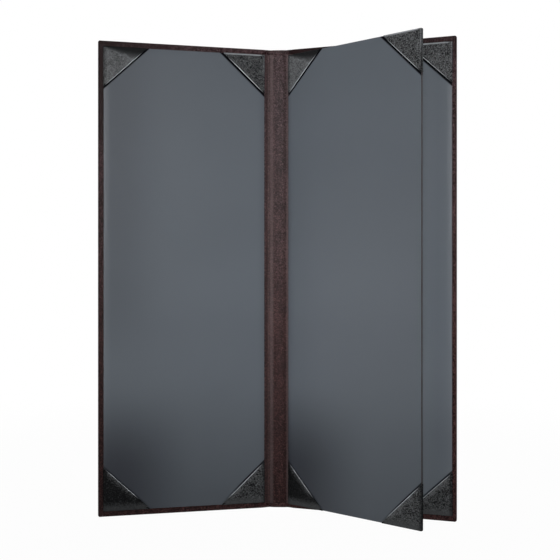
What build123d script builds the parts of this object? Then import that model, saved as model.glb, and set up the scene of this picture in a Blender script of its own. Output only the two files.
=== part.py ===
from build123d import *
import os
from math import cos, radians, sin, sqrt

# A tall menu cover with two covers, a spine and one two-sided middle leaf.
# It stands on its bottom edges, half open like a book, and is read from the -Y side.
# +Z is up, +X points to the reader's right, and the origin is on the floor
# under the middle of the spine board. Lengths are in millimetres, angles in degrees.

# The menu sheet that every view holds. Views, covers and leaf are sized from it.
menu_sheet_width = 105.0
menu_sheet_height = 297.0

# Covers and spine
cover_overhang = 4.0          # beyond the view panels, at the head and at the foot
fore_edge_margin = 2.8        # from the front view panel to the board's fore edge
board_thickness = 2.0
board_corner_radius = 0.4
spine_board_width = 11.0
joint_width = 3.7             # flexible gap between the spine board and a cover board
joint_groove_depth = 1.3      # how far the lining is pressed into the joint
hinge_offset = 0.3            # from the spine board's edge to the line where a cover folds

# Brown leatherette
skin_thickness = 0.6          # outer leatherette, and the lining of the same material
turn_in_width = 15.0          # turned over the boards and glued down inside
head_turn_in = 3.0            # the part of the turn-in that the spine lining leaves bare
lining_wing_width = 12.0      # lining glued onto each cover board, under the view panel
edge_round = 0.5

# View panels: a thin board faced with a smooth grey sheet
panel_play_across = 2.0       # what a view has over the menu sheet
panel_play_along = 5.0
panel_board_thickness = 0.7
panel_sheet_thickness = 0.25
front_panel_inset = 1.5       # from the front board's spine edge to its panel
back_panel_inset = 2.4

# Corner pockets of thin black leatherette
pocket_leg = 30.0             # along the panel's head or foot, from its corner
pocket_side_leg = 28.0        # and along its side
pocket_thickness = 0.3
pocket_lift = 0.25            # room between the grey sheet and the pocket's face
pocket_flap = 9.0             # turned round the panel's edge and glued behind it
hem_width = 2.5               # folded under along the pocket's open edge
hem_clearance = 0.1           # what the hem leaves for a menu sheet

# Middle leaf and its hinge strip
leaf_narrowing = 0.5          # what the leaf lacks of a cover's view panel
leaf_shortening = 1.0
leaf_pivot_reach = 3.0        # from the back fold line, along the back cover
leaf_start = 0.8              # from the pivot line to the leaf's spine edge
strip_thickness = 0.3
strip_tongue = 12.0           # glued between the leaf's two panels
strip_foot = 8.0              # glued under the back cover's view panel
strip_end_gap = 1.0           # the strip stops short of the leaf's head and foot
strip_exit = 1.2              # where the strip lifts off, before the panel's edge
strip_bulge = 0.45            # how far the strip bows past the pivot, towards the spine
strip_bends = (1.2, 1.0, 0.7)

# Rest pose, as each panel's angle from the plane of the spine
front_angle = 16.5
back_angle = 17.5
leaf_angle = 39.6

# Sizes that follow from the menu sheet
panel_width = menu_sheet_width + panel_play_across
panel_height = menu_sheet_height + panel_play_along
board_width = front_panel_inset + panel_width + fore_edge_margin
cover_height = panel_height + 2 * cover_overhang
leaf_width = panel_width - leaf_narrowing
leaf_height = panel_height - leaf_shortening
leaf_foot = cover_overhang

# Derived places. Along a cover, u runs from its fold line to the fore edge, v runs
# along its height from the middle, and w is the height above the board's outer face.
half_height = cover_height / 2
half_spine = spine_board_width / 2
fold_x = half_spine + hinge_offset
fold_y = board_thickness / 2
board_start = joint_width - hinge_offset
board_end = board_start + board_width
lining_top = board_thickness + skin_thickness
panel_thickness = panel_board_thickness + panel_sheet_thickness
pocket_top = panel_thickness + pocket_lift + pocket_thickness
# Shut, the two view panels with their pockets lie a closed leaf apart,
# and the leaf's middle plane stands over the middle of the spine.
leaf_lift = fold_x
leaf_middle = leaf_foot + leaf_height / 2
strip_half_height = leaf_height / 2 - strip_end_gap
strip_middle = leaf_middle - half_height

os.makedirs("parts", exist_ok=True)


def save(piece, name):
    """Label a finished piece and write it under its own name."""
    piece.part.label = name
    export_step(piece.part, f"parts/{name}.step")


def standing_plane(foot_x, foot_y, middle_z, angle, side, facing=1):
    """Plane of an upright panel, opened to side, with its normal towards the reader."""
    turn = radians(angle)
    return Plane(
        origin=(foot_x, foot_y, middle_z),
        x_dir=(side * cos(turn), -sin(turn), 0),
        z_dir=(-facing * side * sin(turn), -facing * cos(turn), 0),
    )


def shifted(plane, u, v, w):
    """The same plane with its origin moved to (u, v, w)."""
    return Plane(origin=plane.from_local_coords((u, v, w)), x_dir=plane.x_dir, z_dir=plane.z_dir)


def plan_point(plane, u, w):
    """Where the point (u, w) of an upright plane stands on the floor."""
    point = plane.from_local_coords(Vector(u, 0, w))
    return (point.X, point.Y)


def block(plane, u, v, w, mode=Mode.ADD):
    """Square-cornered slab between pairs of u, v and w, added to the part being built."""
    with BuildSketch(plane.offset(w[0])) as outline:
        with Locations(((u[0] + u[1]) / 2, (v[0] + v[1]) / 2)):
            Rectangle(u[1] - u[0], v[1] - v[0])
    extrude(outline.sketch, amount=w[1] - w[0], mode=mode)


def rounded_block(plane, u, half_v, w, radius, mode=Mode.ADD):
    """Slab whose two fore-edge corners are rounded."""
    with BuildSketch(plane.offset(w[0])) as outline:
        with Locations(((u[0] + u[1]) / 2, 0)):
            Rectangle(u[1] - u[0], 2 * half_v)
        fillet(outline.vertices().group_by(Axis.X)[-1], radius)
    extrude(outline.sketch, amount=w[1] - w[0], mode=mode)


spine = standing_plane(0, fold_y, half_height, 0, 1)
front = standing_plane(-fold_x, fold_y, half_height, front_angle, -1)
back = standing_plane(fold_x, fold_y, half_height, back_angle, 1)

# Spine board, and the leatherette that wraps it and turns in at head and foot
with BuildPart() as spine_board:
    block(
        spine,
        (-half_spine, half_spine),
        (skin_thickness - half_height, half_height - skin_thickness),
        (0, board_thickness),
    )
save(spine_board, "spine_board")

with BuildPart() as spine_skin:
    block(
        spine,
        (-half_spine, half_spine),
        (-half_height, half_height),
        (-skin_thickness, lining_top),
    )
    block(
        spine,
        (-half_spine, half_spine),
        (skin_thickness - half_height, half_height - skin_thickness),
        (0, board_thickness),
        Mode.SUBTRACT,
    )
    block(
        spine,
        (-half_spine, half_spine),
        (head_turn_in - half_height, half_height - head_turn_in),
        (board_thickness, lining_top),
        Mode.SUBTRACT,
    )
save(spine_skin, "spine_skin")

with BuildPart() as spine_lining:
    block(
        spine,
        (-half_spine, half_spine),
        (head_turn_in - half_height, half_height - head_turn_in),
        (board_thickness, lining_top),
    )
save(spine_lining, "spine_lining")


# Joints: the leatherette that bends between the spine board and each cover board

def skin_profile(cover, side):
    """Plan of the outer leatherette across a joint, round the fold line."""
    fold = Vector(side * fold_x, fold_y)
    over_cover = Vector(*plan_point(cover, 0, -skin_thickness))
    over_spine = Vector(side * fold_x, fold_y + skin_thickness)
    half_way = ((over_cover + over_spine) / 2 - fold).normalized() * skin_thickness
    with BuildLine() as outline:
        Polyline(
            over_spine,
            (side * half_spine, fold_y + skin_thickness),
            (side * half_spine, fold_y),
            fold,
            plan_point(cover, board_start, 0),
            plan_point(cover, board_start, -skin_thickness),
            over_cover,
        )
        ThreePointArc(over_cover, fold + half_way, over_spine)
    make_face(outline.edges())


def groove_curve(cover, side, w):
    """Soft hollow across a joint, between the spine and cover surfaces at height w."""
    start = Vector(*plan_point(spine, side * half_spine, w))
    end = Vector(*plan_point(cover, board_start, w))
    along = (end - start).normalized()
    outward = Vector(-along.Y, along.X) * side
    lowest = (start + end) / 2 + outward * joint_groove_depth
    return Spline(start, lowest, end, tangents=[(side, 0), tuple(cover.x_dir)[:2]])


def lining_profile(cover, side):
    """Plan of the lining pressed into a joint."""
    with BuildLine() as outline:
        upper = groove_curve(cover, side, lining_top)
        lower = groove_curve(cover, side, board_thickness)
        Line(upper @ 0, lower @ 0)
        Line(upper @ 1, lower @ 1)
    make_face(outline.edges())


def end_profile(cover, side):
    """Plan of the leatherette turned in over the end of a joint."""
    with BuildLine() as outline:
        upper = groove_curve(cover, side, lining_top)
        Polyline(
            upper @ 0,
            (side * half_spine, fold_y),
            (side * fold_x, fold_y),
            plan_point(cover, board_start, 0),
            upper @ 1,
        )
    make_face(outline.edges())


def joint_skin(cover, side):
    with BuildPart() as piece:
        with BuildSketch(Plane.XY):
            skin_profile(cover, side)
        extrude(amount=cover_height)
        for end in (0, cover_height - skin_thickness):
            with BuildSketch(Plane.XY.offset(end)):
                end_profile(cover, side)
            extrude(amount=skin_thickness)
        for end in (0, cover_height - head_turn_in):
            with BuildSketch(Plane.XY.offset(end)):
                lining_profile(cover, side)
            extrude(amount=head_turn_in)
    return piece


def joint_lining(cover, side):
    with BuildPart() as piece:
        with BuildSketch(Plane.XY.offset(head_turn_in)):
            lining_profile(cover, side)
        extrude(amount=cover_height - 2 * head_turn_in)
    return piece


# Covers: board, leatherette wrap and the lining's wing

def cover_board(cover):
    with BuildPart() as piece:
        rounded_block(
            cover,
            (board_start, board_end),
            half_height - skin_thickness,
            (0, board_thickness),
            board_corner_radius,
        )
    return piece


def cover_skin(cover):
    with BuildPart() as piece:
        rounded_block(
            cover,
            (board_start, board_end + skin_thickness),
            half_height,
            (-skin_thickness, lining_top),
            board_corner_radius + skin_thickness,
        )
        outer_face = piece.faces().sort_by(Axis(cover.origin, cover.z_dir))[0]
        rim = outer_face.edges().sort_by(Axis(cover.origin, cover.x_dir))[1:]
        fillet(rim, edge_round)
        rounded_block(
            cover,
            (board_start, board_end),
            half_height - skin_thickness,
            (0, board_thickness),
            board_corner_radius,
            Mode.SUBTRACT,
        )
        with BuildSketch(cover.offset(board_thickness)):
            window_end = board_end + skin_thickness - turn_in_width
            with Locations(((board_start + window_end) / 2, 0)):
                Rectangle(window_end - board_start, cover_height - 2 * turn_in_width)
            with Locations((board_start + lining_wing_width / 2, 0)):
                Rectangle(lining_wing_width, cover_height - 2 * head_turn_in)
        extrude(amount=skin_thickness, mode=Mode.SUBTRACT)
    return piece


def lining_wing(cover, strip_end):
    """Lining on a cover board. strip_end is where a hinge strip pressed into it ends."""
    with BuildPart() as piece:
        block(
            cover,
            (board_start, board_start + lining_wing_width),
            (head_turn_in - half_height, half_height - head_turn_in),
            (board_thickness, lining_top),
        )
        if strip_end > board_start:
            block(
                cover,
                (board_start, strip_end),
                (strip_middle - strip_half_height, strip_middle + strip_half_height),
                (lining_top - strip_thickness, lining_top),
                Mode.SUBTRACT,
            )
    return piece


# View panels and their corner pockets. A panel's plane has its origin in the middle
# of its back face, and inset distances run inwards from one of its corners.

def corner_outline(size, corner, insets):
    """Closed outline given by its inset distances from one corner of a panel."""
    points = [
        (corner[0] * (size[0] / 2 - across), corner[1] * (size[1] / 2 - along))
        for across, along in insets
    ]
    Polygon(*points, align=None)


def flap_insets():
    return (
        (0, 0),
        (pocket_leg, 0),
        (pocket_leg - pocket_flap, pocket_flap),
        (pocket_flap, pocket_flap),
        (pocket_flap, pocket_side_leg - pocket_flap),
        (0, pocket_side_leg),
    )


def tongue_block(panel, size, overhang, mode):
    """Half of the hinge strip's tongue, from the middle plane into one panel."""
    start = -size[0] / 2
    block(
        panel,
        (start - overhang, start + strip_tongue),
        (-strip_half_height, strip_half_height),
        (0, strip_thickness / 2),
        mode,
    )


def panel_board(panel, size, holds_strip):
    """Thin board, pressed in at the back where flaps and hinge strip are glued."""
    with BuildPart() as piece:
        block(
            panel,
            (-size[0] / 2, size[0] / 2),
            (-size[1] / 2, size[1] / 2),
            (0, panel_board_thickness),
        )
        for across in (-1, 1):
            for along in (-1, 1):
                with BuildSketch(panel):
                    corner_outline(size, (across, along), flap_insets())
                extrude(amount=pocket_thickness, mode=Mode.SUBTRACT)
        if holds_strip:
            tongue_block(panel, size, 0, Mode.SUBTRACT)
    return piece


def panel_sheet(panel, size):
    with BuildPart() as piece:
        block(
            panel,
            (-size[0] / 2, size[0] / 2),
            (-size[1] / 2, size[1] / 2),
            (panel_board_thickness, panel_thickness),
        )
    return piece


def corner_pocket(panel, size, corner, meets_strip):
    """Triangle over the panel's corner, wrapped round both edges and glued behind."""
    wrap = pocket_thickness
    slope = pocket_side_leg / pocket_leg
    corner_to_hem = pocket_side_leg / sqrt(1 + slope ** 2)
    hem = 1 - hem_width / corner_to_hem
    with BuildPart() as piece:
        with BuildSketch(panel):
            corner_outline(size, corner, flap_insets())
        extrude(amount=pocket_thickness)
        with BuildSketch(panel):
            corner_outline(size, corner, (
                (-wrap, -wrap),
                (pocket_leg + wrap / slope, -wrap),
                (pocket_leg, 0),
                (0, 0),
                (0, pocket_side_leg),
                (-wrap, pocket_side_leg + wrap * slope),
            ))
        extrude(amount=pocket_top)
        with BuildSketch(panel.offset(pocket_top - pocket_thickness)):
            corner_outline(size, corner, (
                (-wrap, -wrap),
                (pocket_leg + wrap / slope, -wrap),
                (-wrap, pocket_side_leg + wrap * slope),
            ))
        extrude(amount=pocket_thickness)
        with BuildSketch(panel.offset(panel_thickness + hem_clearance)):
            corner_outline(size, corner, (
                (pocket_leg, 0),
                (0, pocket_side_leg),
                (0, pocket_side_leg * hem),
                (pocket_leg * hem, 0),
            ))
        extrude(amount=pocket_lift - hem_clearance)
        if meets_strip:
            tongue_block(panel, size, wrap, Mode.SUBTRACT)
    return piece


def view_panel(name, panel, size, up, holds_strip=False):
    """Save one panel's board, grey sheet and four pockets. up is +1 or -1 along v."""
    save(panel_board(panel, size, holds_strip), f"{name}_board")
    save(panel_sheet(panel, size), f"{name}_sheet")
    for across, edge in ((-1, "inner"), (1, "outer")):
        for along, end in ((up, "top"), (-up, "bottom")):
            pocket = corner_pocket(panel, size, (across, along), holds_strip and across < 0)
            save(pocket, f"{name}_pocket_{edge}_{end}")


covers = (
    ("front", front, -1, front_panel_inset, board_start),
    ("back", back, 1, back_panel_inset, board_start + back_panel_inset + strip_foot),
)
for name, cover, side, panel_inset, strip_end in covers:
    save(joint_skin(cover, side), f"{name}_joint_skin")
    save(joint_lining(cover, side), f"{name}_joint_lining")
    save(cover_board(cover), f"{name}_cover_board")
    save(cover_skin(cover), f"{name}_cover_skin")
    save(lining_wing(cover, strip_end), f"{name}_lining_wing")
    panel_middle = board_start + panel_inset + panel_width / 2
    view_panel(
        f"{name}_panel",
        shifted(cover, panel_middle, 0, lining_top),
        (panel_width, panel_height),
        side,
    )

# Middle leaf: two view panels glued back to back, seen from either side
pivot = plan_point(back, leaf_pivot_reach, leaf_lift)
leaf_size = (leaf_width, leaf_height)
for name, facing in (("leaf_front_panel", 1), ("leaf_back_panel", -1)):
    leaf = standing_plane(pivot[0], pivot[1], leaf_middle, leaf_angle, 1, facing)
    leaf_panel = shifted(leaf, leaf_start + leaf_width / 2, 0, 0)
    view_panel(name, leaf_panel, leaf_size, facing, holds_strip=True)

# Hinge strip: glued under the back view panel, bowed round the pivot line and
# glued between the leaf's two panels. Its path is in the back cover's u and w.
leaf_turn = radians(leaf_angle - back_angle)
strip_level = lining_top - strip_thickness / 2
lift_off = board_start + strip_exit
bow = leaf_pivot_reach - strip_bulge
strip_path = [
    (board_start + back_panel_inset + strip_foot, strip_level),
    (lift_off, strip_level),
    (bow, strip_level + lift_off - bow),
    (
        leaf_pivot_reach - strip_bulge * cos(leaf_turn),
        leaf_lift - strip_bulge * sin(leaf_turn),
    ),
    (
        leaf_pivot_reach + (leaf_start + strip_tongue) * cos(leaf_turn),
        leaf_lift + (leaf_start + strip_tongue) * sin(leaf_turn),
    ),
]
with BuildPart() as leaf_hinge_strip:
    with BuildSketch(Plane.XY.offset(leaf_middle - strip_half_height)):
        with BuildLine() as strip_line:
            FilletPolyline(*[plan_point(back, u, w) for u, w in strip_path], radius=list(strip_bends))
        trace(line_width=strip_thickness)
    extrude(amount=2 * strip_half_height)
save(leaf_hinge_strip, "leaf_hinge_strip")
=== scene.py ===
from math import cos, pi, radians, sin, sqrt

import bmesh
import bpy
from mathutils import Matrix, Vector
from mathutils.noise import noise


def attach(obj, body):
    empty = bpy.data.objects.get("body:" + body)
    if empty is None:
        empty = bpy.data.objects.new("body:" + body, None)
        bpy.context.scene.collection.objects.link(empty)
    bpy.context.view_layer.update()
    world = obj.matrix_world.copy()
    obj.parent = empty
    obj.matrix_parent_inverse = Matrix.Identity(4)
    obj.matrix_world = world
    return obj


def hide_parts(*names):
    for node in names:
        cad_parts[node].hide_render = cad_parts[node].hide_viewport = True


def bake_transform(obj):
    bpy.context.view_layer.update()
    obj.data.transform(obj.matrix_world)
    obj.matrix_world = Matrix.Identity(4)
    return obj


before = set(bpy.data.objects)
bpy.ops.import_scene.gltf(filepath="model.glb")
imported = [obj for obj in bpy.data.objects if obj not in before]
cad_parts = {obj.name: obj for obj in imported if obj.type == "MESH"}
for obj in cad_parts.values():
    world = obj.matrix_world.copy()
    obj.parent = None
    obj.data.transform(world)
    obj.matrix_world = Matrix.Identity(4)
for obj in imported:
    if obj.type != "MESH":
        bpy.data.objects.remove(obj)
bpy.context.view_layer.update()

# Table
# The cover stands on a pale table top that runs out of sight on every side. Table and
# room are white where nothing stands, and the table keeps the cover's soft shadow.


class Socket:
    """A shader value. Each operator adds one Math node."""

    def __init__(self, nodes, link):
        self.nodes, self.link = nodes, link

    def math(self, operation, *values):
        return self.nodes.add("ShaderNodeMath", {"operation": operation}, dict(enumerate(values)))

    def __add__(self, other):
        return self.math("ADD", self, other)

    def __sub__(self, other):
        return self.math("SUBTRACT", self, other)

    def __rsub__(self, other):
        return self.math("SUBTRACT", other, self)

    def __mul__(self, other):
        return self.math("MULTIPLY", self, other)

    __radd__ = __add__
    __rmul__ = __mul__

    def clamped(self):
        return self.math("MINIMUM", self.math("MAXIMUM", self, 0.0), 1.0)


class Nodes:
    """A node tree that is filled one node at a time."""

    def __init__(self, tree):
        self.tree = tree

    def add(self, kind, settings=None, values=None, out=0):
        """Adds a node: its settings first, then the value or link of each socket."""
        node = self.tree.nodes.new(kind)
        for name, setting in (settings or {}).items():
            if name == "stops":
                ramp = node.color_ramp.elements
                while len(ramp) < len(setting):
                    ramp.new(0.5)
                for stop, (place, colour) in zip(ramp, setting):
                    stop.position = place
                    stop.color = (*colour, 1.0)
            else:
                setattr(node, name, setting)
        for name, value in (values or {}).items():
            if isinstance(name, int):
                socket = node.inputs[name]
            else:
                socket = next(s for s in node.inputs if name in (s.identifier, s.name))
            if isinstance(value, Socket):
                self.tree.links.new(value.link, socket)
            elif socket.type == "RGBA":
                socket.default_value = (*value, 1.0)
            else:
                socket.default_value = value
        return Socket(self, node.outputs[out]) if len(node.outputs) else None


def new_finish(name):
    """A new material and its empty node tree."""
    material = bpy.data.materials.new(name)
    material.use_nodes = True
    material.node_tree.nodes.clear()
    return material, Nodes(material.node_tree)


def seeing_ray(n):
    """1 for a ray from the camera, a reflection or a clear piece, 0 for one that only lights."""
    kinds = ("Is Camera Ray", "Is Glossy Ray", "Is Transmission Ray")
    camera, glossy, clear = (n.add("ShaderNodeLightPath", out=kind) for kind in kinds)
    return (camera + glossy + clear).clamped()


def new_object(name, data):
    """A new object that stands in the scene."""
    made = bpy.data.objects.new(name, data)
    bpy.context.scene.collection.objects.link(made)
    return made


def mottle(n, place, scale, detail=2.0):
    """A soft random pattern, from 0 to 1."""
    return n.add("ShaderNodeTexNoise", None, {"Vector": place, "Scale": scale, "Detail": detail})


table_half = 4.5
table_colour = (0.86, 0.86, 0.85)
white_share_near = 0.975       # how much of what the eye sees of the table is plain white
white_share_far = 1.0
near_reach, far_reach = 0.25, 0.70

table_corners = [(-1, -1), (1, -1), (1, 1), (-1, 1)]
table_mesh = bpy.data.meshes.new("table_top")
table_mesh.from_pydata([(x * table_half, y * table_half, 0) for x, y in table_corners], [], [(0, 1, 2, 3)])
table_top = new_object("table_top", table_mesh)

table_white, n = new_finish("table_white")
place = n.add("ShaderNodeTexCoord", out="Object")
grain = mottle(n, place, 40.0)
lit = n.add("ShaderNodeBsdfPrincipled", None, {
    "Base Color": table_colour, "Roughness": 0.75 + 0.1 * grain, "Specular IOR Level": 0.2,
})
white = n.add("ShaderNodeEmission", None, {"Color": (1.0, 1.0, 1.0), "Strength": 1.0})
share = n.add("ShaderNodeMapRange", {"interpolation_type": "SMOOTHSTEP"}, {
    "Value": n.add("ShaderNodeVectorMath", {"operation": "LENGTH"}, {0: place}, "Value"),
    "From Min": near_reach, "From Max": far_reach, "To Min": white_share_near, "To Max": white_share_far,
})
n.add("ShaderNodeOutputMaterial", None, {
    "Surface": n.add("ShaderNodeMixShader", None, {"Fac": seeing_ray(n) * share, 1: lit, 2: white}),
})
table_mesh.materials.append(table_white)


# Stiff boards
# Board pressed from waste paper: 2 mm in the covers and the spine, 0.7 mm in the view
# panels. It is hidden but for the panels' cut edges, which are stained dark.

board_colour_dark = (0.038, 0.031, 0.033)
board_colour_light = (0.090, 0.077, 0.081)
fibre_scale = 900.0


def mixed(n, share, low, high):
    """A colour between two others, low where the share is 0 and high where it is 1."""
    return n.add("ShaderNodeMix", {"data_type": "RGBA"}, {
        "Factor_Float": share, "A_Color": low, "B_Color": high,
    }, 2)


pressed_board, n = new_finish("pressed_board")
place = n.add("ShaderNodeTexCoord", out="Object")
fibres = mottle(n, place, fibre_scale, 6.0)
layers = mottle(n, place, 120.0, 3.0)
n.add("ShaderNodeOutputMaterial", None, {
    "Surface": n.add("ShaderNodeBsdfPrincipled", None, {
        "Base Color": mixed(
            n, (0.5 * fibres + 0.5 * layers).clamped(), board_colour_dark, board_colour_light,
        ),
        "Roughness": 0.8 + 0.15 * fibres,
        "Specular IOR Level": 0.1,
        "Normal": n.add("ShaderNodeBump", None, {"Strength": 0.4, "Distance": 0.0002, "Height": fibres}),
    }),
})
for node_name, node_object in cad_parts.items():
    if node_name.endswith("_board"):
        node_object.data.materials.clear()
        node_object.data.materials.append(pressed_board)


# Outer leatherette
# One sheet of brown leatherette glued round the three boards and turned in over their
# edges, mitred at the corners. It folds at each joint, and is made as two halves that meet
# in the middle of the spine.

MM = 0.001
cover_height = 310.0
half_spine = 5.5
fold_x = 5.8                  # the line that a cover folds about
fold_y = 1.0                  # and the level of the boards' outer faces
cover_angles = {"front": 16.5, "back": 17.5}
board_from = 3.4              # a cover board's two edges, from the fold line
board_end = 114.7
skin = 0.6
lining_level = 2.6            # inside surface, above the boards' outer faces
lining_wing_end = 15.4        # how far the lining goes under a view panel
skin_end = board_end + skin
rim_radius = 0.6
corner_radius = 1.0
turn_in = 15.0
turn_in_seat = 0.22           # the turn-in lies this far below the lining's face,
lining_seat = 0.62            # and this far where the lining covers it,
lining_from = 3.1             # which it does from here on, in from the head or the foot
case_wall = 0.5
spine_steps = (0.0, 1.0, 2.0, 2.8, 3.5, 4.2)
joint_from = 5.0              # where the inside surface starts to dip, from the spine's middle
joint_to = 4.2                # and where it is level again, from the fold line
joint_steps = 14
joint_dip = 1.3
outer_dip = 0.4
shoulder_drop = 0.3


def smooth_step(low, high, value):
    """0 to 1 as the value goes from low to high, which may lie either way round."""
    share = min(max((value - low) / (high - low), 0.0), 1.0)
    return share * share * (3 - 2 * share)


def on_spine(side, x, w):
    """Plan of a point x from the spine's middle and w in from the board's outer face."""
    return Vector((side * x, fold_y - w))


def on_cover(side, angle, u, w):
    """Plan of a point u from a cover's fold line and w in from its board's outer face."""
    return Vector((
        side * (fold_x + u * cos(angle) - w * sin(angle)),
        fold_y - u * sin(angle) - w * cos(angle),
    ))


def curve_through(points, count):
    """Points at even steps along a smooth curve through the given ones."""
    ends = [2 * points[0] - points[1], *points, 2 * points[-1] - points[-2]]
    line = []
    for step in range(count + 1):
        along = step / count * (len(points) - 1)
        first = min(int(along), len(points) - 2)
        t = along - first
        p0, p1, p2, p3 = ends[first:first + 4]
        line.append(0.5 * (
            2 * p1 + (p2 - p0) * t + (2 * p0 - 5 * p1 + 4 * p2 - p3) * t ** 2
            + (3 * p1 - p0 - 3 * p2 + p3) * t ** 3
        ))
    return line


def spine_level(x):
    """Level of the lining over the spine, which drops at the shoulders."""
    return lining_level - shoulder_drop * smooth_step(2.6, 5.4, x)


def inside_line(side, angle, wing_level):
    """Plan of the inside surface from the spine's middle, over its shoulder and the joint."""
    start = on_spine(side, half_spine, lining_level)
    end = on_cover(side, angle, board_from, lining_level)
    along = (end - start).normalized()
    outward = Vector((-along.y, along.x)) * side
    joint = [
        on_spine(side, joint_from, spine_level(joint_from)),
        on_spine(side, 5.75, 2.16),
        (start + end) / 2 + outward * joint_dip,
        on_cover(side, angle, 2.6, 1.8),
        on_cover(side, angle, board_from, wing_level - 0.2),
        on_cover(side, angle, joint_to, wing_level),
    ]
    flat = [on_spine(side, x, spine_level(x)) for x in spine_steps]
    return flat + curve_through(joint, joint_steps)


def outside_line(side, angle):
    """Plan of the outer face, with a point for each point of the inside line."""
    line = [on_spine(side, x, -skin) for x in spine_steps]
    reach = fold_x - joint_from + joint_to
    for step in range(joint_steps + 1):
        past = reach * step / joint_steps - (fold_x - joint_from)
        w = -skin + outer_dip * smooth_step(-0.5, 1.2, past) * smooth_step(3.6, 2.0, past)
        line.append(on_spine(side, fold_x + past, w) if past < 0 else on_cover(side, angle, past, w))
    return line


def quilt(bm, rows):
    """Joins rows of equal length into four-sided faces."""
    for lower, upper in zip(rows, rows[1:]):
        for i in range(len(lower) - 1):
            bm.faces.new((lower[i], lower[i + 1], upper[i + 1], upper[i]))


def settle(bm, name, outward_test):
    """Merges coinciding points, turns the faces outwards and makes the object."""
    bmesh.ops.remove_doubles(bm, verts=bm.verts, dist=1e-7)
    bmesh.ops.recalc_face_normals(bm, faces=bm.faces)
    bm.normal_update()
    if sum(outward_test(face) for face in bm.faces) < 0:
        bmesh.ops.reverse_faces(bm, faces=bm.faces)
    mesh = bpy.data.meshes.new(name)
    bm.to_mesh(mesh)
    bm.free()
    for polygon in mesh.polygons:
        polygon.use_smooth = True
    return new_object(name, mesh)


def walled(obj, thickness, offset=-1.0):
    """Gives an open sheet its thickness, on the inner side, and keeps its cut edges crisp."""
    wall = obj.modifiers.new("wall", "SOLIDIFY")
    wall.thickness = thickness
    wall.offset = offset
    bpy.context.view_layer.update()
    solid = bpy.data.meshes.new_from_object(obj.evaluated_get(bpy.context.evaluated_depsgraph_get()))
    obj.modifiers.clear()
    obj.data = solid
    bm = bmesh.new()
    bm.from_mesh(solid)
    for edge in bm.edges:
        edge.smooth = len(edge.link_faces) == 2 and edge.calc_face_angle(0.0) < radians(50)
    bm.to_mesh(solid)
    bm.free()
    return obj


# (distance in from the edge, which face the depth is measured from, depth)
rim_section = [(1.0, "outer", 0.0), (0.75, "outer", 0.0)]
rim_section += [
    (rim_radius * (1 - sin(turn)), "outer", rim_radius * (1 - cos(turn)))
    for turn in [pi / 2 * k / 5 for k in range(6)]
]
rim_section += [(-0.05, "outer", 1.3), (-0.05, "inner", 1.3)]
rim_section += [
    (rim_radius * (1 - cos(turn)), "inner", rim_radius * (1 - sin(turn)))
    for turn in [pi / 2 * k / 5 for k in range(6)]
]
rim_section += [(b, "inner", 0.0) for b in (0.8, 1.4, 2.2, 2.9, 3.3, 4.5, 7.0, turn_in)]

# Along a cover from its fold line. What lies past squeezed_from draws in with the rim.
cover_steps = [5.2, 7.0, 10.0, 13.0, 15.2, 15.6] + [18.6 + 3.05 * k for k in range(26)]
cover_steps += [98.0, 101.0, 104.0, 107.0, 109.5, 111.5, 113.0, 113.8, skin_end - corner_radius]
squeezed_from = 95.0
row_count = 100
row_heights = [
    corner_radius + (cover_height - 2 * corner_radius) * k / row_count for k in range(row_count + 1)
]


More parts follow.
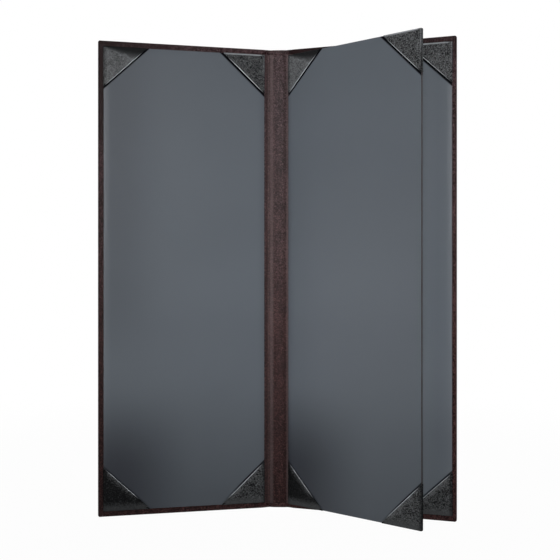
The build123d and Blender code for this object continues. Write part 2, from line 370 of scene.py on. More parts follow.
def case_half(name, side, angle):
    """Half of the case's leatherette: matt and lighter with wear at its rims, with painted light and shade
    inside.
    """
    outside = outside_line(side, angle)
    within = inside_line(side, angle, lining_level)
    out_of_cover = Vector((side * sin(angle), cos(angle), 0))
    fold_reach = on_cover(side, angle, 0, 0).dot(out_of_cover.to_2d()) * MM
    bm = bmesh.new()
    worn = bm.verts.layers.float.new("worn")
    dulled = bm.verts.layers.float.new("dulled")
    matt = bm.verts.layers.float.new("matt")

    def point(plan, z, b, inside):
        """A point b in from the edge. Inside, painted shade darkens it along the head and the front cover's
        outer edge, and painted light lightens it near the spine's foot and low on the back cover.
        """
        vert = bm.verts.new((plan.x * MM, plan.y * MM, z * MM))
        out = abs(plan.x)
        gutter = 0.55 * smooth_step(90, 20, out) * smooth_step(20, 4, z)
        if side < 0:
            rim = (0.40 + 0.55 * smooth_step(236, 254, z)) * smooth_step(98, 106, out)
            dark = max(rim, 0.80 * smooth_step(45, 90, out) * smooth_step(285, 304, z))
        else:
            rim = (0.5 + 0.45 * smooth_step(60, 30, out)) * smooth_step(5.8, 8.0, out)
            dark = rim * smooth_step(285, 304, z) - 0.6 * smooth_step(170, 90, z)
        vert[dulled] = (dark - gutter) * inside
        vert[matt] = smooth_step(1.1, 0.2, b)
        vert[worn] = vert[matt] * (0.25 + 0.75 * smooth_step(110, 60, out)) * (1.0 - 0.9 * max(dark, 0.0))
        return vert

    def plan_at(outer, inner, face, depth, b):
        thick = (inner - outer).length
        level = depth if face == "outer" else thick - depth
        if face == "inner":
            level -= turn_in_seat if b < lining_from else lining_seat
        return outer + (inner - outer) / thick * level

    def cover_plan(u, face, depth, b, wing):
        w = -skin + depth if face == "outer" else lining_level - depth
        if face == "inner" and b > lining_from and wing:
            w -= lining_seat
        return on_cover(side, angle, u, w)

    def squeeze(value, start, end, new_end):
        return value if value < start else start + (value - start) * (new_end - start) / (end - start)

    def faces_out(face):
        """How far a face of the cover, past its fold line, points out of the case."""
        past = face.calc_center_median().to_2d().dot(out_of_cover.to_2d()) - fold_reach
        return face.normal.dot(out_of_cover) * face.calc_area() if past > 0 else 0.0

    def ring(b, face, depth):
        """The points b in from the edge, along the head, the outer edge and the foot."""
        flat_end = skin_end - max(b, corner_radius)
        pillow = 0.1 * smooth_step(1.0, 2.0, b) if face == "inner" else 0.0
        inside = 1.0 if face == "inner" else smooth_step(1.0, 0.3, b)
        head = []
        for outer, inner in zip(outside, within):
            head.append(plan_at(outer, inner, face, depth, b))
        for u in cover_steps:
            u_now = squeeze(u, squeezed_from, skin_end - corner_radius, flat_end)
            head.append(cover_plan(u_now, face, depth, b, u < lining_wing_end))
        arc = []
        for k in range(6):
            turn = pi / 2 * (1 - k / 5)
            radius = max(corner_radius - b, 0.0)
            u = flat_end + radius * cos(turn)
            arc.append((cover_plan(u, face, depth + pillow, b, False), radius * sin(turn)))
        flat_top = cover_height - max(b, corner_radius)
        flat_foot = max(b, corner_radius)
        verts = [point(plan, cover_height - b, b, inside) for plan in head]
        verts += [point(plan, flat_top + rise, b, inside) for plan, rise in arc]
        fore = cover_plan(skin_end - b, face, depth, b, False)
        for z in reversed(row_heights):
            share = (z - corner_radius) / (cover_height - 2 * corner_radius)
            verts.append(point(fore, flat_foot + share * (flat_top - flat_foot), b, inside))
        verts += [point(plan, flat_foot - rise, b, inside) for plan, rise in reversed(arc)]
        verts += [point(plan, b, b, inside) for plan in reversed(head)]
        return verts

    quilt(bm, [ring(*step) for step in rim_section])
    rows = []
    for z in row_heights:
        plans = outside + [on_cover(side, angle, u, -skin) for u in cover_steps]
        rows.append([point(plan, z, 5.0, 0.0) for plan in plans])
    quilt(bm, rows)
    return walled(settle(bm, name, faces_out), case_wall * MM)


leather_dark = (0.0090, 0.0027, 0.0028)
leather_mid = (0.076, 0.0335, 0.0325)
leather_sheen = (0.092, 0.0540, 0.0590)
leather_light = (0.125, 0.094, 0.094)
# Painted sheen: higher up, the brown turns lighter and cooler.
sheen_from, sheen_to = 0.12, 0.27   # the brown turns cooler between these heights, in metres
crackle_scale = 720.0


def painted(n, name):
    """A value that the mesh carries, point by point."""
    return n.add("ShaderNodeAttribute", {"attribute_name": name}, None, "Fac")


def shaken_place(n, place, scale, amount):
    """The place, shaken a little so that a grain laid out on it has no straight lines."""
    wander = n.add("ShaderNodeTexNoise", None, {"Vector": place, "Scale": scale, "Detail": 2.0}, "Color")
    return n.add("ShaderNodeMix", {"data_type": "VECTOR"}, {
        "Factor_Float": amount, "A_Vector": place, "B_Vector": wander,
    }, 1)


leatherette, n = new_finish("brown_leatherette")
place = n.add("ShaderNodeTexCoord", out="Object")
shaken = shaken_place(n, place, 500.0, 0.004)
cells = n.add("ShaderNodeTexVoronoi", {"feature": "DISTANCE_TO_EDGE"}, {
    "Vector": shaken, "Scale": crackle_scale,
})
cracks = n.add("ShaderNodeValToRGB", {"stops": [(0.0, (0, 0, 0)), (0.24, (1, 1, 1))]}, {"Fac": cells})
fine = mottle(n, place, 1250.0, 4.0)
stretched = n.add("ShaderNodeMapping", None, {
    "Vector": place, "Rotation": (0.0, radians(28), 0.0), "Scale": (1.0, 1.0, 0.28),
})
wrinkles = n.add("ShaderNodeTexNoise", None, {
    "Vector": stretched, "Scale": 210.0, "Detail": 4.0, "Distortion": 0.6,
})
patches = mottle(n, place, 28.0, 5.0)
lightening = painted(n, "worn")
dulled = painted(n, "dulled")
matt = painted(n, "matt")
height = n.add("ShaderNodeSeparateXYZ", None, {"Vector": place}, "Z")
# how much of the painted sheen the brown takes on, by height
sheen_share = n.add("ShaderNodeMapRange", None, {"Value": height, "From Min": sheen_from, "From Max": sheen_to})
plates = n.add("ShaderNodeTexVoronoi", {"feature": "F1"}, {
    "Vector": shaken, "Scale": crackle_scale,
}, "Color")
# The tone is darkened by painted shade and lifted by painted light carried on the mesh.
tone = (
    0.9 * cracks + 0.7 * plates + 0.9 * patches + 1.0 * wrinkles + 1.3 * fine - 2.1
).clamped() * (1.0 - dulled)
ground = mixed(n, tone, leather_dark, mixed(n, sheen_share, leather_mid, leather_sheen))
# Wear on the case's rims and the lining's cut ends, and painted highlights and sheen on the lining and the
# hinge cloth, draw the brown towards the light brown.
sheen_and_scuffs = (lightening * (0.25 + 0.9 * patches) * (0.4 + 0.6 * fine)).clamped()
n.add("ShaderNodeOutputMaterial", None, {
    "Surface": n.add("ShaderNodeBsdfPrincipled", None, {
        "Base Color": mixed(n, sheen_and_scuffs * 0.6, ground, leather_light),
        "Roughness": (0.34 - 0.06 * cracks + 0.12 * patches + 0.45 * matt).clamped(),
        "Specular IOR Level": 0.07,
        "Normal": n.add("ShaderNodeBump", None, {
            "Strength": 0.5,
            "Distance": 0.0003,
            "Height": 0.34 * cracks + 0.12 * fine + 0.9 * wrinkles,
        }),
    }),
})

for cover, side in (("front", -1), ("back", 1)):
    angle = radians(cover_angles[cover])
    half = case_half(f"leatherette_{cover}_half", side, angle)
    half.data.materials.append(leatherette)
    half_fold = on_cover(side, angle, board_from, 0) * MM
    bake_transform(half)
    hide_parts(f"{cover}_cover_skin", f"{cover}_joint_skin", "spine_skin")


# Inner lining
# One strip of the same leatherette, glued over the spine, pressed into both joints and
# carried under the view panels. It stops 3 mm short of the head and the foot.

lining_wall = 0.34
lining_end_gap = 3.0
strip_seat = 0.32             # the back wing is pressed down this far under the hinge cloth
wing_steps = (5.0, 6.5, 9.0, 12.0, lining_wing_end)
# (distance in from the cut end, how far the lining's face is rounded down there)
lining_edge = [(0.0, 0.42), (0.03, 0.24), (0.13, 0.09), (0.3, 0.01), (0.7, 0.0)]
lining_steps = 130


def lining_half(name, side, angle, wing_level):
    """Half of the lining: rippled over the spine and lighter with wear at its cut ends, with painted
    highlights and shade at its shoulders and joints.
    """
    line = inside_line(side, angle, wing_level)
    line += [on_cover(side, angle, u, wing_level) for u in wing_steps]
    floor_line = outside_line(side, angle)
    floor_line += [on_cover(side, angle, u, -skin) for u in wing_steps]
    low, high = lining_end_gap, cover_height - lining_end_gap
    levels = [(low + z, drop) for z, drop in lining_edge]
    rounded = lining_edge[-1][0]
    for k in range(1, lining_steps):
        levels.append((low + rounded + (high - low - 2 * rounded) * k / lining_steps, 0.0))
    levels += [(high - z, drop) for z, drop in reversed(lining_edge)]
    bm = bmesh.new()
    worn = bm.verts.layers.float.new("worn")
    dulled = bm.verts.layers.float.new("dulled")
    rows = []
    for z, drop in levels:
        row = []
        for k, (top, bottom) in enumerate(zip(line, floor_line)):
            down = (bottom - top).normalized()
            across = 1.0 - smooth_step(18, 23, k)
            ripple = noise(Vector((top.x * 0.30, z * 0.11, 3.0)))
            ripple += 0.5 * noise(Vector((top.x * 0.8, z * 0.35, 9.0)))
            plan = top + down * (drop + 0.07 * across * (ripple + 0.6))
            vert = bm.verts.new((plan.x * MM, plan.y * MM, z * MM))
            # Painted highlights on the front shoulder and in the front joint, painted sheen in the back
            # joint and painted shade on the back shoulder.
            shoulder = smooth_step(3.0, 4.2, abs(top.x)) * (1.0 - smooth_step(5.3, 6.4, abs(top.x)))
            groove = smooth_step(5.8, 6.8, abs(top.x)) * (1.0 - smooth_step(8.6, 9.4, abs(top.x)))
            if side < 0:
                lightening = max(shoulder * 1.6, groove * 0.9)
            else:
                lightening = 2.0 * smooth_step(4.9, 5.9, top.x)
                vert[dulled] = 0.35 * smooth_step(2.8, 4.0, top.x) * smooth_step(5.2, 4.6, top.x)
            vert[worn] = max(smooth_step(0.0, 0.3, drop) * 0.6, lightening)
            row.append(vert)
        rows.append(row)
    quilt(bm, rows)
    towards = Vector((0, -1, 0))
    half = settle(bm, name, lambda face: face.normal.dot(towards) * face.calc_area())
    return walled(half, lining_wall * MM)


for cover, side, wing_level in (("front", -1, lining_level - 0.01), ("back", 1, lining_level - strip_seat)):
    angle = radians(cover_angles[cover])
    half = lining_half(f"lining_{cover}_half", side, angle, wing_level)
    half.data.materials.append(leatherette)
    half_fold = on_cover(side, angle, board_from, 0) * MM
    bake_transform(half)
    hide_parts(f"{cover}_lining_wing", f"{cover}_joint_lining", "spine_lining")


# View sheets
# A smooth dark grey facing sheet on each of the four view panels, cut square and glued
# down over the whole panel. The menu sheet lies on it, behind the corner pockets.

panel_size = (107.0, 302.0)
leaf_size = (106.5, 301.0)
front_inset, back_inset = 1.5, 2.4    # of the cover panels, from the boards' inner edges
leaf_middle_height = 154.5
panel_board = 0.7
sheet_thickness = 0.25
sheet_edge_radius = 0.1
pocket_head_leg = 30.0
pocket_side_leg = 28.0
pocket_reach = pocket_head_leg * pocket_side_leg / sqrt(pocket_head_leg ** 2 + pocket_side_leg ** 2)
leaf_angle = radians(39.6)
leaf_start = 0.8
leaf_reach = 3.0              # of the line that the leaf turns about, along the back cover
leaf_pivot = on_cover(1, radians(cover_angles["back"]), leaf_reach, fold_x)


def panel_place(middle, z, heading):
    """Turns a panel's own frame, right, up and out of its face, into the row's frame."""
    return Matrix((
        (cos(heading), 0, sin(heading), middle.x * MM),
        (sin(heading), 0, -cos(heading), middle.y * MM),
        (0, 1, 0, z * MM),
        (0, 0, 0, 1),
    ))


leaf_middle = leaf_pivot + (leaf_start + leaf_size[0] / 2) * Vector((cos(leaf_angle), -sin(leaf_angle)))
front_angle, back_angle = (radians(cover_angles[cover]) for cover in ("front", "back"))
front_middle = on_cover(-1, front_angle, board_from + front_inset + panel_size[0] / 2, lining_level)
back_middle = on_cover(1, back_angle, board_from + back_inset + panel_size[0] / 2, lining_level)
view_panels = [
    ("front", "front_panel", "front_cover", panel_size,
     panel_place(front_middle, cover_height / 2, front_angle)),
    ("back", "back_panel", "back_cover", panel_size,
     panel_place(back_middle, cover_height / 2, -back_angle)),
    ("leaf_front", "leaf_front_panel", "leaf", leaf_size,
     panel_place(leaf_middle, leaf_middle_height, -leaf_angle)),
    ("leaf_back", "leaf_back_panel", "leaf", leaf_size,
     panel_place(leaf_middle, leaf_middle_height, pi - leaf_angle)),
]


# For each corner, (right-hand, head): how far its painted shadow line along the hem is
# thinned, and how large its pocket is cut.
shadow_line_squeeze = {(False, True): 1.10, (True, True): 0.78, (False, False): 1.25, (True, False): 1.10}
pocket_size = {(False, True): 0.933, (True, True): 0.930, (False, False): 1.0, (True, False): 0.975}


def sheet_painted_light(name, u, z):
    """The painted light and shade of a sheet at z above its foot and u across it, from -1 at its
    left edge. It is lightest below the middle and dark towards the left end of the foot."""
    level = 0.93 + 0.11 * smooth_step(190, 130, z) + 0.14 * smooth_step(125, 80, z)
    level -= 0.06 * smooth_step(75, 45, z)
    dark_from = 0.40 if name.startswith("leaf") else 0.20
    level *= 1.0 - 0.68 * smooth_step(84, 24, z) * smooth_step(dark_from, -0.85, u)
    if name.startswith("leaf"):
        level *= 1.0 + 0.11 * smooth_step(215, 265, z)
    if name.startswith("front"):
        level *= 1.0 - 0.25 * smooth_step(-0.2, -0.9, u) * smooth_step(90, 150, z)
        level *= 1.0 - 0.06 * smooth_step(0.1, -0.6, u) * smooth_step(160, 210, z)
    if name.startswith("back"):
        level *= 1.12 + 0.13 * smooth_step(150, 90, z) + 0.20 * smooth_step(60, 15, z)
        level *= 1.0 + 0.22 * smooth_step(-0.7, -1.0, u) + 0.28 * smooth_step(0.82, 0.62, u)
    return level


def facing_sheet(name, size, place):
    """A thin sheet with softened edges. past_hem is how far a point lies outside the open
    edge of its nearest pocket, in millimetres, shadow how dark the painted shadow line is
    there, and each point carries the sheet's painted light and shade as well."""
    half_w, half_h = size[0] / 2, size[1] / 2
    top = panel_board + sheet_thickness
    bm = bmesh.new()
    past_hem = bm.verts.layers.float.new("past_hem")
    glow = bm.verts.layers.float.new("glow")
    shadow = bm.verts.layers.float.new("shadow")
    matt = bm.verts.layers.float.new("matt")
    columns = [k / 12 for k in range(-12, 13)]
    rows = [k / 30 for k in range(-30, 31)]

    def layer(inset, w, bow):
        """Points inset from the edges at level w. Without a bow they are of the edge, which
        is matt and has a painted highlight."""
        made = []
        for v in rows:
            line = []
            for u in columns:
                x, y = u * (half_w - inset), v * (half_h - inset)
                uneven = 0.5 + noise(Vector((u * 1.3, v * 2.1, half_w)))
                swell = bow * (1 - u ** 4) * (1 - v ** 4) * uneven
                vert = bm.verts.new((x * MM, y * MM, (w + swell) * MM))
                corner = (x > 0, y > 0)
                reach = (half_w - abs(x)) / pocket_head_leg + (half_h - abs(y)) / pocket_side_leg
                vert[past_hem] = (reach - pocket_size[corner]) * pocket_reach * shadow_line_squeeze[corner]
                # Painted light and shade over the sheet, stronger on its matt edge as a painted highlight.
                vert[glow] = sheet_painted_light(name, u, half_h + y) * (1.0 if bow else 1.7)
                vert[matt] = 0.0 if bow else 1.0
                darkest, dark_at = (0.85, 16.0) if x > 0 else (0.4, 9.0)
                vert[shadow] = 1.0 if y > 0 else darkest * smooth_step(0.0, dark_at, half_h + y)
                line.append(vert)
            made.append(line)
        return made

    def border(grid):
        return grid[0] + [row[-1] for row in grid[1:]] + grid[-1][-2::-1] + [row[0] for row in grid[-2::-1]]

    face = layer(sheet_edge_radius, top, 0.05)
    under = layer(0.0, panel_board, 0.0)
    quilt(bm, face)
    quilt(bm, under)
    rings = [border(face)]
    for turn in (pi / 6, pi / 3, pi / 2):
        rings.append(border(layer(
            sheet_edge_radius * (1 - sin(turn)), top - sheet_edge_radius * (1 - cos(turn)), 0.0,
        )))
    rings.append(border(under))
    quilt(bm, rings)
    loose = [vert for vert in bm.verts if not vert.link_faces]
    bmesh.ops.delete(bm, geom=loose, context="VERTS")
    sheet = settle(bm, name, lambda face: face.normal.z * (face.calc_center_median().z - panel_board * MM))
    sheet.data.transform(place)
    return sheet


sheet_dark = (0.0, 0.0, 0.006)
sheet_light = (0.176, 0.201, 0.229)

grey_sheet, n = new_finish("dark_grey_sheet")
place = n.add("ShaderNodeTexCoord", out="Object")
clouds = mottle(n, place, 14.0, 3.0)
tooth = mottle(n, place, 2400.0)
past_hem = painted(n, "past_hem")
glow = painted(n, "glow")
shadow = painted(n, "shadow")
matt = painted(n, "matt")
# A painted shadow line: the sheet turns near black from under each pocket's hem to about a millimetre past
# it.
outside = n.add("ShaderNodeMapRange", {"interpolation_type": "SMOOTHSTEP"}, {
    "Value": past_hem, "From Min": 0.95, "From Max": 1.65, "To Min": 1.0, "To Max": 0.0,
})
inside = n.add("ShaderNodeMapRange", None, {"Value": past_hem, "From Min": -2.0, "From Max": -1.0})
# The sheet's colour follows its painted light and shade.
open_sheet = n.add("ShaderNodeBsdfPrincipled", None, {
    "Base Color": mixed(n, glow * (0.4625 + 0.075 * clouds), sheet_dark, sheet_light),
    "Roughness": (0.36 + 0.06 * clouds + 0.05 * tooth + 0.45 * matt).clamped(),
    "Specular IOR Level": 0.2,
    "Normal": n.add("ShaderNodeBump", None, {"Strength": 0.06, "Distance": 0.0001, "Height": tooth}),
})
# The near black shader of the painted shadow line.
painted_shadow_black = n.add("ShaderNodeBsdfDiffuse", None, {"Color": (0.002, 0.002, 0.003)})
n.add("ShaderNodeOutputMaterial", None, {
    "Surface": n.add("ShaderNodeMixShader", None, {
        0: (0.98 * outside * inside * shadow).clamped(), 1: open_sheet, 2: painted_shadow_black,
    }),
})

for view, panel, body, size, place in view_panels:
    sheet = facing_sheet(f"{view}_view_sheet", size, place)
    sheet.data.materials.append(grey_sheet)
    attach(sheet, body)
    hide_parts(f"{panel}_sheet")


# Corner pockets
# A triangle of thin black leatherette over each corner of each view panel. Its long edge
# is folded under as a hem, and its sides are pulled round the panel and glued behind it.
# Each is folded by hand, so the four of a panel differ in their creases, and each has its own painted
# light, shade and highlights.

pocket_wall = 0.19
pocket_wrap = 0.3
pocket_edge_radius = 0.45
edge_height = 1.16            # outer surface above the panel's back, where it is pulled tight
crest_height = 1.56           # and along the hem
hem_radius = 0.23
hem_width = 2.5
pocket_flap = 9.0
head_slope = 8.0              # a pocket is level this far from the panel's head or foot
side_slope = 14.0             # and this far from its side
pocket_steps = 46


def soft_least(a, b, ease):
    """The lesser of two heights, eased where they are equal."""
    share = min(max(0.5 + 0.5 * (b - a) / ease, 0.0), 1.0)
    return b + (a - b) * share - ease * share * (1 - share)


def pocket_height(p, q, seed):
    """Outer surface above the panel's back. p runs in from the side, q from head or foot."""
    rise = crest_height - edge_height
    from_side = rise * (p / side_slope) ** 0.8
    from_head = rise * (q / head_slope) ** 0.9
    height = soft_least(soft_least(from_side, from_head, 0.04), rise, 0.08)
    crease = noise(Vector((p * 0.22, q * 0.22, seed))) * 0.05 * min(p, q, 6.0) / 6.0
    return edge_height + height + crease


def pocket_sheet(
    name, hand, size, seed, tone, pulled, facet, band, coarse,
    hem_tone, hem_from, hem_glow, side_dark, edge_tone,
):
    """One pocket: hand 1 for a left-hand head corner, -1 for its mirror image. The leather
    is pulled smooth, with less grain and its own painted light and shade, in a band along the panel's head,
    or in the whole facet over it."""
    head_leg, side_leg = pocket_head_leg * size, pocket_side_leg * size
    inner = pocket_edge_radius - pocket_wrap
    head_crest = head_leg - 2 * inner - 0.1
    side_crest = side_leg - 2 * inner - 0.1
    slope = side_crest / head_crest
    across, along = slope / sqrt(1 + slope ** 2), 1 / sqrt(1 + slope ** 2)
    bm = bmesh.new()
    shade = bm.verts.layers.float.new("shade")
    grain = bm.verts.layers.float.new("grain")
    polish = bm.verts.layers.float.new("polish")
    puff = bm.verts.layers.float.new("puff")
    matt = bm.verts.layers.float.new("matt")

    def hem_light_at(share):
        """How strong the hem's painted highlight and the painted light beside it are, from the hem's end at
        the head, 0, to its end at the side, 1.
        """
        return smooth_step(hem_from, hem_from + 0.2, share) * smooth_step(1.0, 0.82, share)

    def point(p, q, w, hem=0.0, lit=1.0):
        """A point p in from the side, q from head or foot and w above the panel's back."""
        vert = bm.verts.new((hand * p * MM, -q * MM, w * MM))
        turn = (q + 0.15) / (p + 0.4)
        streaks = noise(Vector((turn * 9.0, p * 0.12, seed + 5))) * smooth_step(0.15, 0.45, turn)
        over = facet * (1.0 - smooth_step(0.10, 0.58, turn + 0.10 * streaks))
        smooth = max(over, 1.0 - smooth_step(band * 0.3, band * 1.3, q))
        by_side = 1.0 - side_dark * smooth_step(2.6, 0.2, p)
        reach = p / head_leg + q / side_leg
        by_hem = hem_glow * smooth_step(0.76, 1.0, reach) ** 1.5 * hem_light_at(q / side_leg / reach)
        level = tone * (1.0 + 0.25 * facet * streaks)
        drawn = pulled * (1.0 + 5.0 * facet * max(streaks, 0.0))
        # The shade is painted light and shade: a level for the corner, the smooth band or facet, the
        # panel's side, light beside the hem and dark under it.
        vert[shade] = ((level + (drawn - level) * smooth) * by_side + by_hem) * lit
        vert[grain] = coarse * (1.0 - 0.8 * smooth)
        head_edge = smooth_step(0.8, 0.45, q) * smooth_step(1.0, 3.0, p)
        side_edge = 0.36 * smooth_step(0.5, 0.1, p) * smooth_step(17.0, 9.0, q)
        ridge_at = 0.42 - 0.12 * noise(Vector((p * 0.25, 0.0, seed)))
        ridge = 0.09 * facet * smooth_step(0.10, 0.0, abs(turn - ridge_at)) * smooth_step(5.0, 9.0, p)
        # The hem's crest, the pocket's edges and its crease ridge get a painted highlight.
        vert[polish] = max(hem * hem_tone, edge_tone * max(head_edge, side_edge), ridge)
        vert[puff] = w - edge_height
        vert[matt] = smooth_step(0.14, 0.03, min(p, q))
        return vert

    face = []
    for row in range(pocket_steps + 1):
        share_out = 1.0 if row == pocket_steps else 0.988 * (row / (pocket_steps - 1)) ** 0.85
        line = []
        for column in range(pocket_steps + 1):
            share = column / pocket_steps
            p = inner + head_crest * share_out * (1 - share)
            q = inner + side_crest * share_out * share
            hem = hem_light_at(share) if row == pocket_steps else 0.0
            line.append(point(p, q, pocket_height(p, q, seed), hem))
        face.append(line)
    quilt(bm, face)

    # The hem rolls under along the long edge.
    hem_rows = [face[-1]]
    for turn in [pi * k / 6 for k in range(1, 7)] + [None]:
        line = []
        for column in range(pocket_steps + 1):
            share = column / pocket_steps
            p, q = inner + head_crest * (1 - share), inner + side_crest * share
            if turn is None:
                out, down = -hem_width, 2 * hem_radius
            else:
                out, down = hem_radius * sin(turn), hem_radius * (1 - cos(turn))
            top = pocket_height(p, q, seed)
            taper = 0.25 + 0.75 * min(1.0, 6 * share, 6 * (1 - share))
            hem = hem_light_at(share) * (0.55 if turn is not None and turn < 0.6 else 0.0)
            line.append(point(
                p + out * taper * across, q + out * taper * along, top - down * taper, hem,
                1.0 if turn is not None and turn < 0.9 else 0.1,
            ))
        hem_rows.append(line)
    quilt(bm, hem_rows)

    # The sides go round the panel's edges and in behind it.
    tip = pocket_height(inner, inner, seed)
    stations = [(row[0], 1, 0) for row in reversed(face[1:])]
    stations += [(point(inner, inner, tip), cos(pi / 2 * k / 6), sin(pi / 2 * k / 6)) for k in range(7)]
    stations += [(row[-1], 0, 1) for row in face[1:]]
    side_rows = [[vert for vert, _, _ in stations]]
    bends = [(sin(pi / 2 * k / 5), 1 - cos(pi / 2 * k / 5)) for k in range(1, 6)]
    for out, down in bends:
        side_rows.append([
            point(
                hand * vert.co.x / MM - pocket_edge_radius * out * to_side,
                -vert.co.y / MM - pocket_edge_radius * out * to_head,
                vert.co.z / MM - pocket_edge_radius * down,
            )
            for vert, to_head, to_side in stations
        ])
    for w in (0.4, 0.16, 0.05):
        side_rows.append([point(hand * v.co.x / MM, -v.co.y / MM, w) for v in side_rows[-1]])
    for depth in (0.3, pocket_flap):
        line = []
        for vert, to_head, to_side in stations:
            p, q = hand * vert.co.x / MM, -vert.co.y / MM
            if to_side == 0:
                p, q = depth + (p - inner) / head_crest * (head_leg - 2 * depth), depth
            elif to_head == 0:
                p, q = depth, depth + (q - inner) / side_crest * (side_leg - 2 * depth)
            else:
                p, q = depth, depth
            line.append(point(p, q, 0.01))
        side_rows.append(line)
    quilt(bm, side_rows)
    made = settle(bm, name, lambda face: face.normal.z if face.calc_center_median().z > 0.9 * MM else 0.0)
    return walled(made, pocket_wall * MM)


def new_tree(name, inputs):
    """A Geometry Nodes tree, its nodes, and its inputs by name."""
    tree = bpy.data.node_groups.new(name, "GeometryNodeTree")
    for label, kind in [("Geometry", "Geometry"), *inputs.items()]:
        tree.interface.new_socket(label, in_out="INPUT", socket_type=f"NodeSocket{kind}")
    tree.interface.new_socket("Geometry", in_out="OUTPUT", socket_type="NodeSocketGeometry")
    g = Nodes(tree)
    given = tree.nodes.new("NodeGroupInput")
    return tree, g, {label: Socket(g, given.outputs[label]) for label in inputs}


def close_tree(g, geometry, finish):
    """Ends a tree with real geometry that has its finish."""
    real = g.add("GeometryNodeRealizeInstances", None, {"Geometry": geometry})
    g.add("NodeGroupOutput", None, {
        "Geometry": g.add("GeometryNodeSetMaterial", None, {"Geometry": real, "Material": finish}),
    })


def corner_tree():
    """Geometry Nodes that put a panel's four pockets in its corners."""
    tree, g, given = new_tree("pockets_in_corners", {
        "Panel Width": "Float", "Panel Height": "Float", "Head Left": "Object", "Head Right": "Object",
        "Foot Left": "Object", "Foot Right": "Object", "Finish": "Material",
    })
    corners = g.add("GeometryNodeMeshGrid", None, {
        "Size X": given["Panel Width"], "Size Y": given["Panel Height"],
        "Vertices X": 2, "Vertices Y": 2,
    })
    place = g.add("GeometryNodeInputPosition")
    x = g.add("ShaderNodeSeparateXYZ", None, {"Vector": place}, "X")
    y = g.add("ShaderNodeSeparateXYZ", None, {"Vector": place}, "Y")
    joined = tree.nodes.new("GeometryNodeJoinGeometry")
    for end, up in (("Foot", -1.0), ("Head", 1.0)):
        for edge, right in (("Left", -1.0), ("Right", 1.0)):
            chosen = x.math("GREATER_THAN", x * right, 0.0) * y.math("GREATER_THAN", y * up, 0.0)
            shape = g.add("GeometryNodeObjectInfo", None, {"Object": given[f"{end} {edge}"]}, "Geometry")
            put = g.add("GeometryNodeInstanceOnPoints", None, {
                "Points": corners, "Selection": chosen, "Instance": shape,
                "Rotation": (0.0, 0.0, pi if end == "Foot" else 0.0),
            })
            tree.links.new(put.link, joined.inputs[0])
    close_tree(g, Socket(g, joined.outputs[0]), given["Finish"])
    return tree


def from_tree(name, tree, values, place):
    """Runs a tree and keeps its result as a plain mesh, put in place."""
    carrier = new_object(name, bpy.data.meshes.new(name))
    modifier = carrier.modifiers.new(tree.name, "NODES")
    modifier.node_group = tree
    for item in tree.interface.items_tree:
        if item.in_out == "INPUT" and item.name in values:
            modifier[item.identifier] = values[item.name]
    bpy.context.view_layer.update()
    made = bpy.data.meshes.new_from_object(carrier.evaluated_get(bpy.context.evaluated_depsgraph_get()))
    carrier.modifiers.clear()
    made.transform(place)
    carrier.data = made
    return carrier


pocket_dark = (0.0020, 0.0023, 0.0027)
pocket_light = (0.140, 0.145, 0.150)
# The pale blue-white of the painted highlights on the pockets' hems, edges and creases.
highlight_colour = (0.78, 0.83, 0.88)
pebble_scale = 700.0

black_leather, n = new_finish("black_pebbled_leatherette")
place = n.add("ShaderNodeTexCoord", out="Object")
shaken = shaken_place(n, place, pebble_scale, 0.003)
pebbles = n.add("ShaderNodeTexVoronoi", {"feature": "SMOOTH_F1"}, {
    "Vector": shaken, "Scale": pebble_scale, "Smoothness": 0.5,
})
lumps = mottle(n, place, 1500.0)
clouds = mottle(n, place, 160.0, 3.0)
shade = painted(n, "shade")
grain = painted(n, "grain")
polish = painted(n, "polish")
puff = painted(n, "puff")
matt = painted(n, "matt")
relief = (0.8 * lumps + 0.6 - pebbles) * grain
speckle = 1.0 + grain * (4.6 * lumps - 1.4 * pebbles + 1.2 * clouds - 2.4)
flecks = grain * (12.0 * lumps - 6.5).clamped()
n.add("ShaderNodeOutputMaterial", None, {
    "Surface": n.add("ShaderNodeBsdfPrincipled", None, {
        "Base Color": mixed(
            n, (polish * (0.62 + 0.6 * clouds)).clamped(),
            mixed(n, (shade * speckle + 0.20 * flecks).clamped(), pocket_dark, pocket_light), highlight_colour,
        ),
        "Roughness": (0.38 + 0.12 * lumps * grain - 0.08 * polish + 0.45 * matt).clamped(),
        "Specular IOR Level": 0.05,
        "Normal": n.add("ShaderNodeBump", None, {
            "Strength": 0.7, "Distance": 0.001, "Height": 0.30 * relief + 2.0 * puff,
        }),
    }),
})

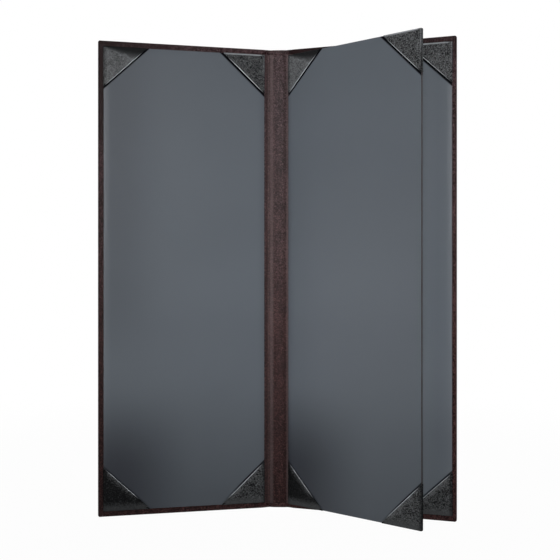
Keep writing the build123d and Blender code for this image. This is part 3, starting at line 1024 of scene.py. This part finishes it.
# tone and pulled are the painted light and shade of the leather where it is grained and where
# it is pulled smooth: in a band along the panel's head or foot or, with facet 1, in the whole
# facet over it. coarse is how strong the grain is. From hem_from on, the hem has a painted
# highlight of hem_tone and the leather beside it painted light of hem_glow. side_dark is the
# painted shade at the panel's side, and edge_tone the painted highlight where it turns over the panel's
# edges.
pocket_kinds = {
    "Head Left": dict(
        hand=1, size=pocket_size[(False, True)],
        seed=2.0, tone=0.66, pulled=0.03, facet=1.0, band=0.6, coarse=0.55,
        hem_tone=1.1, hem_from=0.08, hem_glow=0.12, side_dark=0.45, edge_tone=0.0,
    ),
    "Head Right": dict(
        hand=-1, size=pocket_size[(True, True)],
        seed=7.0, tone=0.35, pulled=0.44, facet=0.0, band=0.8, coarse=1.0,
        hem_tone=1.1, hem_from=0.08, hem_glow=0.06, side_dark=-0.25, edge_tone=0.32,
    ),
    "Foot Left": dict(
        hand=-1, size=pocket_size[(False, False)],
        seed=11.0, tone=0.0, pulled=0.36, facet=0.0, band=4.6, coarse=1.0,
        hem_tone=1.2, hem_from=0.22, hem_glow=0.42, side_dark=0.3, edge_tone=0.0,
    ),
    "Foot Right": dict(
        hand=1, size=pocket_size[(True, False)],
        seed=16.0, tone=0.42, pulled=0.50, facet=0.0, band=4.6, coarse=1.0,
        hem_tone=1.4, hem_from=0.10, hem_glow=0.60, side_dark=0.5, edge_tone=0.0,
    ),
}
# The back's and the leaf's pockets get more painted light, as the lamps light them less.
pocket_painted_light = {"front": 1.0, "back": 1.25, "leaf_front": 1.2, "leaf_back": 1.2}
patterns = {corner: pocket_sheet(f"{corner} pattern", **kind) for corner, kind in pocket_kinds.items()}
corners = corner_tree()
for view, panel, body, size, place in view_panels:
    pockets = from_tree(f"{view}_corner_pockets", corners, {
        "Panel Width": size[0] * MM, "Panel Height": size[1] * MM, "Finish": black_leather, **patterns,
    }, place)
    for vertex in pockets.data.attributes["shade"].data:
        vertex.value *= pocket_painted_light[view]
    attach(pockets, body)
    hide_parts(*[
        f"{panel}_pocket_{edge}_{end}" for edge in ("inner", "outer") for end in ("top", "bottom")
    ])
for pattern in patterns.values():
    bpy.data.objects.remove(pattern)


# Hinge cloth
# A strip of the brown leatherette, glued under the back view panel and between the
# leaf's two panels. It bows out round the leaf's edge, and the leaf turns on it.

strip_thickness = 0.3
strip_foot_end = 13.8
strip_lift_off = 4.6
strip_bow = 2.55
strip_tongue = 12.0
strip_bulge = 0.22
strip_low, strip_high = 5.0, 304.0
strip_bend_steps = 8

turned = leaf_angle - back_angle
strip_level = lining_level - strip_thickness / 2
# (distance from the fold line, level above the boards' outer faces, radius of the bend)
strip_points = [
    (strip_foot_end, strip_level, 0.0),
    (strip_lift_off, strip_level, 1.2),
    (strip_bow, strip_level + strip_lift_off - strip_bow, 1.0),
    (leaf_reach - strip_bulge * cos(turned), fold_x - strip_bulge * sin(turned), 0.7),
    (leaf_reach + (leaf_start + strip_tongue) * cos(turned),
     fold_x + (leaf_start + strip_tongue) * sin(turned), 0.0),
]


def strip_tree():
    """Geometry Nodes that round a folded path and raise it into an upright sheet."""
    tree, g, given = new_tree("cloth_along_path", {
        "Path": "Object", "Height": "Float", "Finish": "Material",
    })
    path = g.add("GeometryNodeObjectInfo", None, {"Object": given["Path"]}, "Geometry")
    fold = g.add("GeometryNodeInputNamedAttribute", {"data_type": "FLOAT"}, {"Name": "bend_radius"})
    curve = g.add("GeometryNodeMeshToCurve", None, {"Mesh": path})
    rounded = g.add("GeometryNodeFilletCurve", {"mode": "POLY"}, {
        "Curve": curve, "Radius": fold, "Count": strip_bend_steps,
    })
    line = g.add("GeometryNodeCurveToMesh", None, {"Curve": rounded})
    raised = g.add("GeometryNodeExtrudeMesh", {"mode": "EDGES"}, {
        "Mesh": line,
        "Offset": g.add("ShaderNodeCombineXYZ", None, {"Z": 1.0}),
        "Offset Scale": given["Height"],
    })
    close_tree(g, raised, given["Finish"])
    return tree


path_mesh = bpy.data.meshes.new("hinge_path")
path_plan = [on_cover(1, back_angle, u, w) for u, w, _ in strip_points]
path_mesh.from_pydata(
    [(plan.x * MM, plan.y * MM, strip_low * MM) for plan in path_plan],
    [(k, k + 1) for k in range(len(path_plan) - 1)],
    [],
)
bend = path_mesh.attributes.new("bend_radius", "FLOAT", "POINT")
for k, (_, _, radius) in enumerate(strip_points):
    bend.data[k].value = radius * MM
path = new_object("hinge_path", path_mesh)
cloth = from_tree("hinge_cloth", strip_tree(), {
    "Path": path, "Height": (strip_high - strip_low) * MM, "Finish": leatherette,
}, Matrix.Identity(4))
bpy.data.objects.remove(path)
for polygon in cloth.data.polygons:
    polygon.use_smooth = True
cloth = walled(cloth, strip_thickness * MM, 0.0)
# A painted sheen on the cloth, fading out towards its foot.
cloth_sheen = cloth.data.attributes.new("worn", "FLOAT", "POINT")
for vert in cloth.data.vertices:
    cloth_sheen.data[vert.index].value = 1.7 * smooth_step(0.010, 0.060, vert.co.z)
bend_start = on_cover(1, back_angle, strip_lift_off - 0.4, 3.2) * MM
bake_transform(cloth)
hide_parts("leaf_hinge_strip")


# Studio
# Soft lights before, beside and behind the cover, a white room, and the camera at half
# the cover's height, as the photograph was taken. The lights in front have narrow beams.

# (name, place, what it points at, size, power, width of its beam in degrees)
for name, place, target, size, power, spread in (
    ("head_softbox", (0.0, -1.60, 0.62), (0.01, 0.0, 0.29), (0.4, 0.25), 0.40, 26.0),
    ("middle_softbox", (0.0, -1.60, 0.36), (0.01, 0.0, 0.155), (0.4, 0.12), 0.10, 14.0),
    ("front_softbox", (-0.10, -1.50, 0.40), (0.0, 0.0, 0.27), (0.35, 0.35), 0.12, 34.0),
    ("left_low_softbox", (-0.86, -0.26, 0.16), (0.05, -0.04, 0.15), (0.5, 0.2), 0.12, 50.0),
    ("back_softbox", (0.3, 1.2, 0.9), (0.0, 0.0, 0.15), (1.2, 0.8), 5.0, 180.0),
):
    light = bpy.data.lights.new(name, "AREA")
    light.shape = "RECTANGLE"
    light.size, light.size_y = size
    light.energy = power
    light.spread = radians(spread)
    lamp = new_object(name, light)
    lamp.location = place
    lamp.rotation_euler = (Vector(target) - Vector(place)).to_track_quat("-Z", "Y").to_euler()
    lamp.visible_camera = False

world = bpy.data.worlds.new("white_room")
bpy.context.scene.world = world
world.use_nodes = True
world.node_tree.nodes.clear()
n = Nodes(world.node_tree)
room_strength = 0.10
n.add("ShaderNodeOutputWorld", None, {
    "Surface": n.add("ShaderNodeBackground", None, {
        "Color": (1.0, 1.0, 1.0), "Strength": room_strength + (1.0 - room_strength) * seeing_ray(n),
    }),
})

camera_place = (0.03219, -0.66197, 0.1552)
camera_turn = 2.70
lens_length, lens_shift, sensor_width = 62.73, -0.00286, 36.0

camera_data = bpy.data.cameras.new("camera")
camera_data.sensor_width = sensor_width
camera_data.lens = lens_length
camera_data.shift_y = lens_shift
camera = new_object("camera", camera_data)
camera.location = camera_place
camera.rotation_euler = (radians(90), 0.0, radians(camera_turn))
bpy.context.scene.camera = camera
bpy.context.scene.view_settings.view_transform = "Standard"
